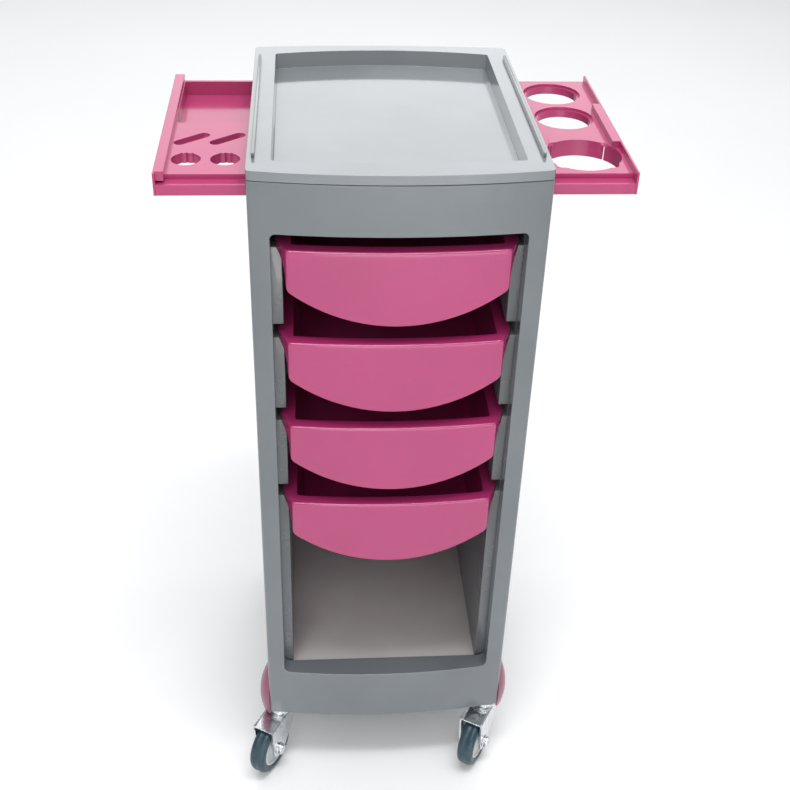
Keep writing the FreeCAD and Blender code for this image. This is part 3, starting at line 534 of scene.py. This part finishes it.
# %% [markdown]
# ## Drawers
# A drawer is a single skin too: a rim round the mouth, a bin that hangs from the mouth, lips
# that turn down at the sides and back, and a deep apron in front whose lower edge is an arc.
# The rim's front corners are cut at a slant, and the apron folds round them into a gusset.
# The grid's lines are packed closer near the ends of the apron, where the arc climbs fastest.

# %% Drawer sizes
APRON_COLUMNS = [0, 12, 24, 36, 48, 60, 71, 81, 90, 98, 104, 108.5, 111.5, 113.6, 115.3, 116.5, 117.3, 117.6]
APRON_END, APRON_CORNER = 117.6, 4.0
APRON_DROP, APRON_SIDE_DROP = 87.0, 46.0
MOUTH_HALF, RIM_HALF = 112.0, 128.5
RIM_WIDTH, LIP = 15.0, 6.7
BIN_DEPTH, BIN_DRAFT = 62.0, 14.0
SETBACK, FOLD = 2.0, 2.6
CORNER_Y, CORNER_DEPTH = -162.0, 4.0
MOUTH_BACK = 162.8
# the gusset beside the apron: how far it stands out, how far back it reaches, and how low
GUSSET = ((7.2, 13, 9), (4.4, 8, 14), (2.4, 4.5, 21), (1.2, 3, 30), (0.8, 2.5, APRON_SIDE_DROP - 5))


def end_round(x):
    """How far the rounded ends of the apron fall away at x."""
    into = min(max(0.0, abs(x) - (APRON_END - APRON_CORNER)), APRON_CORNER)
    return APRON_CORNER - math.sqrt(APRON_CORNER**2 - into**2)


def arc_rise(x):
    """Height of the apron's lower edge above its lowest point."""
    rise = APRON_DROP - APRON_SIDE_DROP
    radius = (119.0**2 + rise**2) / (2 * rise)
    return radius - math.sqrt(radius**2 - x**2) + end_round(x)


# %% Drawer skin
def drawer(number):
    node = f"drawer_{number}"
    low, high = node_box(node)
    rim, back = high.z, high.y

    def front_edge(x):
        return front_y(x, LINE - SETBACK) + end_round(x) / 2 if abs(x) <= APRON_END + 0.01 else CORNER_Y

    half = [-x for x in reversed(APRON_COLUMNS[1:])] + APRON_COLUMNS
    bm = lattice([-RIM_HALF] + half + [RIM_HALF], [0, 1, 2, 3])
    rows = [front_edge, lambda x: front_edge(x) + (CORNER_DEPTH if abs(x) == RIM_HALF else RIM_WIDTH),
            lambda x: MOUTH_BACK, lambda x: back]
    for vert in bm.verts:
        vert.co = (vert.co.x, rows[round(vert.co.y)](vert.co.x), rim)

    # lips all round, then the apron and its gussets from the front ones
    ring = roll_over(bm, open_edges(bm), FOLD)
    edges, verts = pull(bm, ring, (0, 0, FOLD - LIP))
    lead = [e for e in edges if all(v.co.y < CORNER_Y + 1 for v in e.verts)]
    for reach, inward, drop in GUSSET:
        lead, verts = pull(bm, lead)
        for vert in verts:
            side = math.copysign(1, vert.co.x)
            if abs(vert.co.x) > APRON_END + 0.5:
                vert.co = (side * (APRON_END + reach), front_edge(APRON_END) + inward, rim - drop)
            elif drop < GUSSET[-1][2]:
                vert.co.z = rim - drop
            else:
                vert.co.z = rim - APRON_DROP + arc_rise(vert.co.x)

    # the bin hangs from the mouth
    mouth = [f for f in bm.faces if f.normal.z**2 > 0.9 and abs(f.calc_center_median().x) < MOUTH_HALF
             and -150 < f.calc_center_median().y < 150]
    floor = sink(bm, mouth, BIN_DEPTH, ((MOUTH_HALF - 8) / MOUTH_HALF, 1 - BIN_DRAFT / 340), (0, -8, 0))
    steep = [e for e in bm.edges if along(e, 2, 0.8) and e.calc_face_angle(0) > 0.5
             and min(v.co.z for v in e.verts) < rim - BIN_DEPTH + 1]
    round_off(bm, [e for e in steep if max(abs(v.co.x) for v in e.verts) < MOUTH_HALF + 1
                   and max(v.co.z for v in e.verts) > rim - 1], 6, 4)
    foot = [e for e in bm.edges if all(abs(v.co.z - rim + BIN_DEPTH) < 0.1 for v in e.verts)
            and e.calc_face_angle(0) > 0.5]
    round_off(bm, foot, 4, 3)
    return piece(f"{node}_skin", bm, node, drawer_pink, (node,), UP, 2.4, 0.5, 2)


for number in range(1, 5):
    drawer(number)

# %% [markdown]
# ## Side trays
# Both trays share one section: a raised deck, a step down at the front and back, a flange and
# a skirt that slides in the channels. The holes are the hard part. Instead of cutting them, the
# outline of the deck and of every hole is drawn as a loop of edges and the space between is
# filled at once; each hole's loop is then pulled down to make its collar.

# %% Tray sizes
tray_low, tray_high = node_box("right_cup_tray")
DECK, DECK_STEP, SKIRT_FOOT = 855.2, 5.6, 838.0
DECK_FRONT, DECK_BACK = -137.7, 136.0
FLANGE_FRONT, FLANGE_BACK = -152.0, 142.0
TRAY_INNER, TRAY_OUTER = 113.0, tray_high.x
WALL = 2.4
GRIP = 11.0


# %% Loops for the deck
def loop_circle(bm, x, y, radius, count=64, start=0.0):
    turn = Matrix.Translation((x, y, DECK)) @ Matrix.Rotation(start, 4, "Z")
    return bmesh.ops.create_circle(bm, segments=count, radius=radius, matrix=turn)["verts"]


def loop_slot(bm, x, y, length, breadth, angle):
    """A slot with round ends: a circle whose halves are moved apart."""
    verts = bmesh.ops.create_circle(bm, segments=32, radius=breadth / 2)["verts"]
    for vert in verts:
        vert.co.x += math.copysign((length - breadth) / 2, vert.co.x)
    bmesh.ops.transform(bm, verts=verts,
                        matrix=Matrix.Translation((x, y, DECK)) @ Matrix.Rotation(angle, 4, "Z"))
    return verts


def loop_room(bm, x_low, x_high, y_low, y_high, radius=3.0):
    """A rectangle with rounded corners."""
    made = bmesh.ops.create_grid(bm, x_segments=1, y_segments=1, size=0.5)["verts"]
    bmesh.ops.scale(bm, vec=(x_high - x_low, y_high - y_low, 1), verts=made)
    bmesh.ops.translate(bm, vec=((x_low + x_high) / 2, (y_low + y_high) / 2, DECK), verts=made)
    before = set(bm.verts) - set(made)
    bmesh.ops.bevel(bm, geom=made, offset=radius, segments=4, profile=0.5, affect="VERTICES", material=-1)
    face = [f for f in bm.faces if not before & set(f.verts)]
    bmesh.ops.delete(bm, geom=face, context="FACES_ONLY")
    return [v for v in bm.verts if v not in before]


def edges_of(bm, verts):
    inside = set(verts)
    return [e for e in bm.edges if e.verts[0] in inside and e.verts[1] in inside]


def notch(verts, x, y, angles, spread, depth):
    """Push the vertices of a hole outwards near the given angles."""
    for vert in verts:
        arm = Vector((vert.co.x - x, vert.co.y - y, 0))
        here = math.degrees(math.atan2(arm.y, arm.x))
        gap = min(abs((here - angle + 180) % 360 - 180) for angle in angles)
        if gap < spread:
            vert.co += arm.normalized() * depth * math.cos(gap / spread * math.pi / 2) ** 0.5


def deck_sheet(bm, sign, loops):
    """Fill the deck between its outline and its holes, then fold the long edges down."""
    span = sorted((sign * TRAY_INNER, sign * (TRAY_OUTER - WALL / 2)))
    made = bmesh.ops.create_grid(bm, x_segments=1, y_segments=1, size=0.5)["verts"]
    bmesh.ops.scale(bm, vec=(span[1] - span[0], DECK_BACK - DECK_FRONT, 1), verts=made)
    bmesh.ops.translate(bm, vec=(sum(span) / 2, (DECK_FRONT + DECK_BACK) / 2, DECK), verts=made)
    bmesh.ops.delete(bm, geom=[f for f in bm.faces if set(f.verts) == set(made)], context="FACES_ONLY")
    rims = [edges_of(bm, loop) for loop in loops]
    outline = edges_of(bm, made)
    bmesh.ops.triangle_fill(bm, use_beauty=True, edges=outline + sum(rims, []), normal=UP)
    for edge_y, flange_y in ((DECK_FRONT, FLANGE_FRONT), (DECK_BACK, FLANGE_BACK)):
        edges = [e for e in outline if all(abs(v.co.y - edge_y) < 0.01 for v in e.verts)]
        for by in ((0, 0, -DECK_STEP), (0, flange_y - edge_y, 0), (0, 0, SKIRT_FOOT + DECK_STEP - DECK)):
            edges, _ = pull(bm, edges, by)
    return rims


def collar(bm, edges, foot, step=0.0, step_depth=3.0):
    """Pull a hole's edge down to its foot, with a ledge first if a step is given."""
    if step:
        edges, verts = pull(bm, edges, (0, 0, -step_depth))
        middle = sum((v.co for v in verts), Vector()) / len(verts)
        edges, verts = pull(bm, edges)
        radius = (verts[0].co - middle).length
        bmesh.ops.scale(bm, vec=(1 - step / radius, 1 - step / radius, 1),
                        space=Matrix.Translation(-middle), verts=verts)
    level = next(iter(edges)).verts[0].co.z
    return pull(bm, edges, (0, 0, foot - level))


# %% Cup tray
CUPS = ((201, 93.5), (202, 17))
DRYER = (203.5, -89)


def cup_tray():
    bm = bmesh.new()
    loops = [loop_circle(bm, *spot, 34, 72) for spot in CUPS]
    large = loop_circle(bm, *DRYER, 41.5, 120, math.radians(1.5))
    slits = (45, 135, 225, 315)
    notch(large, *DRYER, slits, 8, 3.4)
    rims = deck_sheet(bm, 1, loops + [large])
    for rim in rims[:2]:
        collar(bm, rim, 844, 3.5)
    edges, verts = pull(bm, rims[2], (0, 0, -2.6))
    for vert in verts:
        arm = Vector((vert.co.x - DRYER[0], vert.co.y - DRYER[1], 0))
        vert.co.xy = Vector(DRYER) + arm.normalized().xy * 41.5
    edges, verts = pull(bm, edges, (0, 0, 836.5 - DECK + 2.6))
    low = set(verts)
    slit_faces = []
    for face in bm.faces:
        if low & set(face.verts):
            arm = face.calc_center_median() - Vector((*DRYER, 0))
            if abs((math.degrees(math.atan2(arm.y, arm.x)) - 45 + 45) % 90 - 45) < 1:
                slit_faces.append(face)
    bmesh.ops.delete(bm, geom=slit_faces, context="FACES")
    return piece("cup_tray_deck", bm, "right_tray", tray_pink, ("right_cup_tray",), UP, WALL, 0.5, 2, 40)


cup_tray()


# %% Tool tray
TOOL_HOLES = ((-220.5, -99.5), (-179.5, -99.5))
TOOL_SLOTS = ((-218, -45), (-179.5, -45))


def tool_tray():
    bm = bmesh.new()
    room = loop_room(bm, -TRAY_OUTER + GRIP + 0.6, -TRAY_INNER - 4.4, 1, 131.4)
    loops = []
    for spot in TOOL_HOLES:
        loops.append(loop_circle(bm, *spot, 15.6, 72))
        notch(loops[-1], *spot, (68, 90, 112), 5, 1.5)
    loops += [loop_slot(bm, *spot, 45, 13, math.radians(39)) for spot in TOOL_SLOTS]
    rims = deck_sheet(bm, -1, [room] + loops)
    edges, _ = pull(bm, rims[0], (0, 0, SKIRT_FOOT - DECK))
    bmesh.ops.contextual_create(bm, geom=edges)
    for rim in rims[1:]:
        collar(bm, rim, 844)
    return piece("tool_tray_deck", bm, "left_tray", tray_pink, ("left_tool_tray",), UP, WALL, 0.6, 2, 40)


tool_tray()


# %% [markdown]
# ## Tray end walls
# A thin wall closes the outer end of each tray, and a broad lip along its top is the finger
# grip: on the tool tray it runs the whole length, on the cup tray it fills the middle. Both are
# straight bars with softly rounded edges, set into one another.

# %% End walls
def bar(bm, low, high):
    """A closed block between two corners."""
    made = bmesh.ops.create_cube(bm, size=1)["verts"]
    bmesh.ops.scale(bm, vec=Vector(high) - Vector(low), verts=made)
    bmesh.ops.translate(bm, vec=(Vector(high) + Vector(low)) / 2, verts=made)
    return made


def end_wall(side, node, sign, grip_low, grip_high):
    low, high = node_box(node)
    bm = bmesh.new()
    wall = (WALL, 0, low.y, DECK_BACK, SKIRT_FOOT, high.z - 0.1)
    grip = (GRIP, 0.1, grip_low, grip_high, DECK - 3, high.z)
    for inner, outer, y_low, y_high, foot, top in (wall, grip):
        x_low, x_high = sorted((sign * (TRAY_OUTER - inner), sign * (TRAY_OUTER - outer)))
        bar(bm, (x_low, y_low, foot), (x_high, y_high, top))
    return piece(f"{side}_tray_end", bm, f"{side}_tray", tray_pink, edge=0.7, segments=3)


end_wall("left", "left_tool_tray", -1, -148.0, DECK_BACK)
end_wall("right", "right_cup_tray", 1, -70.0, 42.0)

# %% [markdown]
# ## Casters
# A swivel caster is mostly turned work: tyre, hub, races and bolt all come from a profile spun
# round its axis. The fork is the exception, a pressed steel strip folded over the wheel, so it
# is a folded sheet. Each piece is made once about the stem with the wheel towards +X, then
# turned to its heading and set at its corner.

# %% Spun pieces
def spun(profile, closed=False, steps=48):
    """Turn a profile of (radius, height) round the Z axis."""
    bm = bmesh.new()
    verts = [bm.verts.new((radius, 0, height)) for radius, height in profile]
    pairs = list(zip(verts, verts[1:])) + ([(verts[-1], verts[0])] if closed else [])
    edges = [bm.edges.new(pair) for pair in pairs]
    bmesh.ops.spin(bm, geom=verts + edges, cent=(0, 0, 0), axis=(0, 0, 1), angle=math.tau,
                   steps=steps, use_merge=True)
    bmesh.ops.remove_doubles(bm, verts=bm.verts, dist=0.001)
    return bm


def arc(radius, height, size, start, end, steps=6):
    """Points of an arc in a profile, with its middle at that radius and height."""
    turns = [math.radians(start + (end - start) * i / steps) for i in range(steps + 1)]
    return [(radius + size * math.cos(t), height + size * math.sin(t)) for t in turns]


def both_ways(half_profile):
    """A profile and its mirror image below, in one run."""
    return [(r, -h) for r, h in reversed(half_profile)] + half_profile


def joined(*meshes):
    """Several bmeshes in one."""
    whole = bmesh.new()
    for bm in meshes:
        made = bpy.data.meshes.new("part")
        bm.to_mesh(made)
        bm.free()
        whole.from_mesh(made)
        bpy.data.meshes.remove(made)
    return whole


# %% Where a caster's pieces go
HEADING = {"front_left": 240, "front_right": 240, "rear_left": 60, "rear_right": 120}
TRAIL, WHEEL_RADIUS = 31.0, 38.0
FORK_TOP, FORK_HALF = 82.6, 15.0


def set_at(bm, corner):
    east, north = CORNERS[corner]
    turn = Matrix.Rotation(math.radians(HEADING[corner]), 4, "Z")
    bmesh.ops.transform(bm, verts=bm.verts, matrix=Matrix.Translation((east * 141, north * 168, 0)) @ turn)
    return bm


def on_axle(bm, offset=0.0, flip=1):
    """Lay a spun piece on the axle, which runs along Y."""
    lay = Matrix.Translation((TRAIL, offset, WHEEL_RADIUS)) @ Matrix.Rotation(-flip * math.pi / 2, 4, "X")
    bmesh.ops.transform(bm, verts=bm.verts, matrix=lay)
    return bm


# %% Profiles
tyre_half = ([(37.75, 0), (37.75, 3.7), (38, 4.0), (37.75, 4.3), (37.7, 5)]
             + arc(31.7, 5, 6, 0, 90, 7) + [(30.5, 10.7), (29.4, 10.9), (28.2, 10.6), (26.5, 9.9)])
TYRE = both_ways(tyre_half)
hub_half = [(26.5, 9.8), (25.6, 10.2), (23.6, 10.1), (22.6, 9.0), (21.8, 7.4), (12.4, 6.9),
            (11.4, 8.2), (10.8, 10.8), (10, 12), (4.1, 12.2)]
HUB = both_ways(hub_half)
UPPER_RACE = [(0, 88.5), (16.8, 88.5), (18, 89), (18.5, 90), (18.5, 91.4), (17.8, 92.3), (15, 92.7),
              (13.5, 93.5), (9, 93.7), (9, 97), (0, 97)]
LOWER_RACE = [(0, 82.5), (12.5, 82.5), (14.2, 83), (15.6, 84.2), (16.7, 85), (17, 85.9), (17, 87.2),
              (16.5, 87.9), (0, 87.9)]
WASHER = [(0, 0), (8.4, 0), (8.6, 0.3), (8.4, 1.2), (0, 1.3)]
BOLT = [(0, -21), (3.6, -21), (4, -20.4), (4, 18), (0, 18)]


# %% Fork
def fork_sheet():
    """A strip folded over the wheel: two legs that taper to a round tip, and a top plate."""
    back, front = -17.0, TRAIL + 15
    bm = bmesh.new()
    outline = [(back, FORK_TOP), (front, FORK_TOP), (front, FORK_TOP - 12), (TRAIL + 12, WHEEL_RADIUS - 12),
               (TRAIL - 12, WHEEL_RADIUS - 12), (back, FORK_TOP - 14)]
    tips = []
    for side in (-1, 1):
        verts = [bm.verts.new((x, side * FORK_HALF, z)) for x, z in outline]
        bm.faces.new(verts)
        tips += verts[3:5]
    bm.edges.ensure_lookup_table()
    tops = [e for e in bm.edges if all(v.co.z > FORK_TOP - 0.1 for v in e.verts)]
    bmesh.ops.bridge_loops(bm, edges=tops)
    bmesh.ops.bevel(bm, geom=tips, offset=11, segments=8, profile=0.5, affect="VERTICES", material=-1)
    folds = [e for e in bm.edges if along(e, 0) and all(v.co.z > FORK_TOP - 0.1 for v in e.verts)]
    round_off(bm, folds, 3, 5)
    return bm


def hexagon(across, height):
    """A bolt head or nut: six sides with the top corners rounded away."""
    bm = bmesh.new()
    radius = across / 2 / math.cos(math.pi / 6)
    bmesh.ops.create_cone(bm, cap_ends=True, segments=6, radius1=radius, radius2=radius, depth=height,
                          matrix=Matrix.Translation((0, 0, height / 2)))
    top = [e for e in bm.edges if all(v.co.z > height - 0.1 for v in e.verts)]
    round_off(bm, top, 1.0, 2)
    round_off(bm, [e for e in bm.edges if along(e, 2)], 0.5, 2)
    return bm


# %% Assemble the four casters
def caster(corner):
    node = f"{corner}_caster"
    swivel, wheel = f"{corner}_swivel", f"{corner}_wheel"
    race = set_at(spun(UPPER_RACE), corner)
    piece(f"{node}_race", race, "cabinet", zinc, (f"{node}_stem",), edge=0.2, segments=2)
    piece(f"{node}_fork_sheet", set_at(fork_sheet(), corner), swivel, zinc, (f"{node}_fork",), UP, WALL, 0.5)
    piece(f"{node}_turning_race", set_at(spun(LOWER_RACE), corner), swivel, zinc, edge=0.2, segments=2)
    reach = FORK_HALF + 0.2
    bolt = joined(on_axle(spun(BOLT, steps=24)), on_axle(spun(WASHER, steps=32), reach),
                  on_axle(hexagon(13, 5), reach + 1.2), on_axle(spun(WASHER, steps=32), -reach, -1),
                  on_axle(hexagon(12.4, 4.6), -reach - 1.2, -1))
    piece(f"{node}_bolt", set_at(bolt, corner), swivel, zinc, (f"{node}_axle",))
    piece(f"{node}_wheel_centre", set_at(on_axle(spun(HUB, True)), corner), wheel, hub_grey,
          (f"{node}_hub",), edge=0.35, segments=2, angle=25)
    tyre = set_at(on_axle(spun(TYRE, True, 72)), corner)
    piece(f"{node}_tyre_ring", tyre, wheel, tyre_rubber, (f"{node}_tyre",))


for corner in CORNERS:
    caster(corner)

# %% [markdown]
# ## Caster caps
# A swollen pink cap hides each caster socket beside the side wall. It is part of a barrel: the
# barrel's side is spun round an upright axis and the plane of the side wall cuts it off.

# %% Caps
def cap(corner):
    east, north = CORNERS[corner]
    node = f"{corner}_caster_cap"
    low, high = node_box(node)
    bulge_out, level, half, axis_y = 12.6, 111.5, 54.0, 163.0
    profile = [(HALF - 141 + bulge_out * (1 - ((z - level) / half) ** 2), z)
               for z in evenly(low.z, high.z, 16)]
    bm = spun(profile, steps=64)
    bmesh.ops.translate(bm, vec=(east * 141, north * axis_y, 0), verts=bm.verts)
    whole = bm.verts[:] + bm.edges[:] + bm.faces[:]
    bmesh.ops.bisect_plane(bm, geom=whole, plane_co=(east * (HALF + 0.05), 0, 0), plane_no=(-east, 0, 0),
                           clear_outer=True)
    # the cap's dark pink is painted shade
    return piece(f"{node}_dome", bm, "cabinet", cap_pink, (node,), Vector((east, 0, 0)), 2, 0.5)


for corner in CORNERS:
    cap(corner)

# %% [markdown]
# ## Screws
# Eight pan-head screws hold the back wall. The heads are spun from a low dome with a driver
# recess. The nuts and the base screws inside the cabinet keep their own shape and only get
# the zinc finish.

# %% Screws
def back_screws():
    low, high = node_box("back_panel_screws")
    head = [(0, 0.7), (0.9, 0.8), (1.3, 1.7), (2.2, 1.6), (3.1, 1.1), (3.6, 0.3), (3.6, 0)]
    heads = []
    for x in (-140, 140):
        for z in (130, 365, 600, 835):
            bm = spun(head, steps=20)
            lay = Matrix.Translation((x, high.y - 1.8, z)) @ Matrix.Rotation(-math.pi / 2, 4, "X")
            bmesh.ops.transform(bm, verts=bm.verts, matrix=lay)
            heads.append(bm)
    outwards = Vector((0, 1, 0))
    return piece("back_screw_heads", joined(*heads), "cabinet", zinc, ("back_panel_screws",), outwards)


back_screws()
for node in ("caster_nuts", "base_screws"):
    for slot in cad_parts[node].material_slots:
        slot.material = zinc

# %% [markdown]
# ## Floor, light and camera
# The trolley stands on a plain pale floor. A wide soft box overhead lights the lid and the
# trays, a second one low behind gives the glossy tops something bright to reflect, and a soft
# front light keeps the drawers readable while the bins stay dark.

# %% Floor
def floor():
    bm = bmesh.new()
    bmesh.ops.create_grid(bm, x_segments=1, y_segments=1, size=9)
    mesh = bpy.data.meshes.new("floor")
    bm.to_mesh(mesh)
    bm.free()
    finish = Finish("pale_floor", Roughness=0.7)
    tone = finish.spread(finish.noise(2, 3), 0.3, 0.7)
    colour = finish.blend(tone, (0.95, 0.95, 0.95, 1), (0.97, 0.97, 0.97, 1))
    mesh.materials.append(finish.wears(Base_Color=colour))
    obj = bpy.data.objects.new("floor", mesh)
    bpy.context.scene.collection.objects.link(obj)


floor()


# %% Lights
def soft_box(name, at, target, width, height, power):
    light = bpy.data.lights.new(name, "AREA")
    light.shape, light.size, light.size_y, light.energy = "RECTANGLE", width, height, power
    obj = bpy.data.objects.new(name, light)
    obj.location = at
    obj.rotation_euler = (Vector(target) - Vector(at)).to_track_quat("-Z", "Y").to_euler()
    bpy.context.scene.collection.objects.link(obj)


soft_box("overhead", (0.2, -0.3, 3.2), (0, 0, 0.5), 2.6, 2.6, 34)
soft_box("strip", (0.1, -0.7, 2.9), (0, 0, 0.5), 1.5, 0.3, 22)
soft_box("behind", (0.0, 3.4, 2.9), (0, 0, 0.8), 4.6, 2.6, 58)
soft_box("front", (-0.7, -2.7, 2.8), (0, 0, 0.5), 2.2, 1.6, 27)
soft_box("low", (0.3, -2.6, 0.35), (0, 0, 0.3), 1.6, 0.5, 16)
world = bpy.data.worlds.new("studio")
bpy.context.scene.world = world
world.use_nodes = True
world.node_tree.nodes["Background"].inputs["Color"].default_value = (0.95, 0.97, 1, 1)
world.node_tree.nodes["Background"].inputs["Strength"].default_value = 0.5
bpy.context.scene.view_settings.view_transform = "Standard"


# %% Camera
def camera():
    azimuth, pitch, roll = (math.radians(angle) for angle in (-4.90202, 34.5110, 1.92690))
    reach = math.cos(pitch)
    forward = Vector((-math.sin(azimuth) * reach, math.cos(azimuth) * reach, -math.sin(pitch)))
    level = Vector((math.cos(azimuth), math.sin(azimuth), 0))
    above = level.cross(forward)
    across = math.cos(roll) * level + math.sin(roll) * above
    upward = math.cos(roll) * above - math.sin(roll) * level
    data = bpy.data.cameras.new("camera")
    data.lens, data.sensor_width = 54.43, 36
    obj = bpy.data.objects.new("camera", data)
    turn = Matrix((across, upward, -forward)).transposed().to_4x4()
    obj.matrix_world = Matrix.Translation((-0.09365, -1.28095, 1.36637)) @ turn
    bpy.context.scene.collection.objects.link(obj)
    bpy.context.scene.camera = obj


camera()
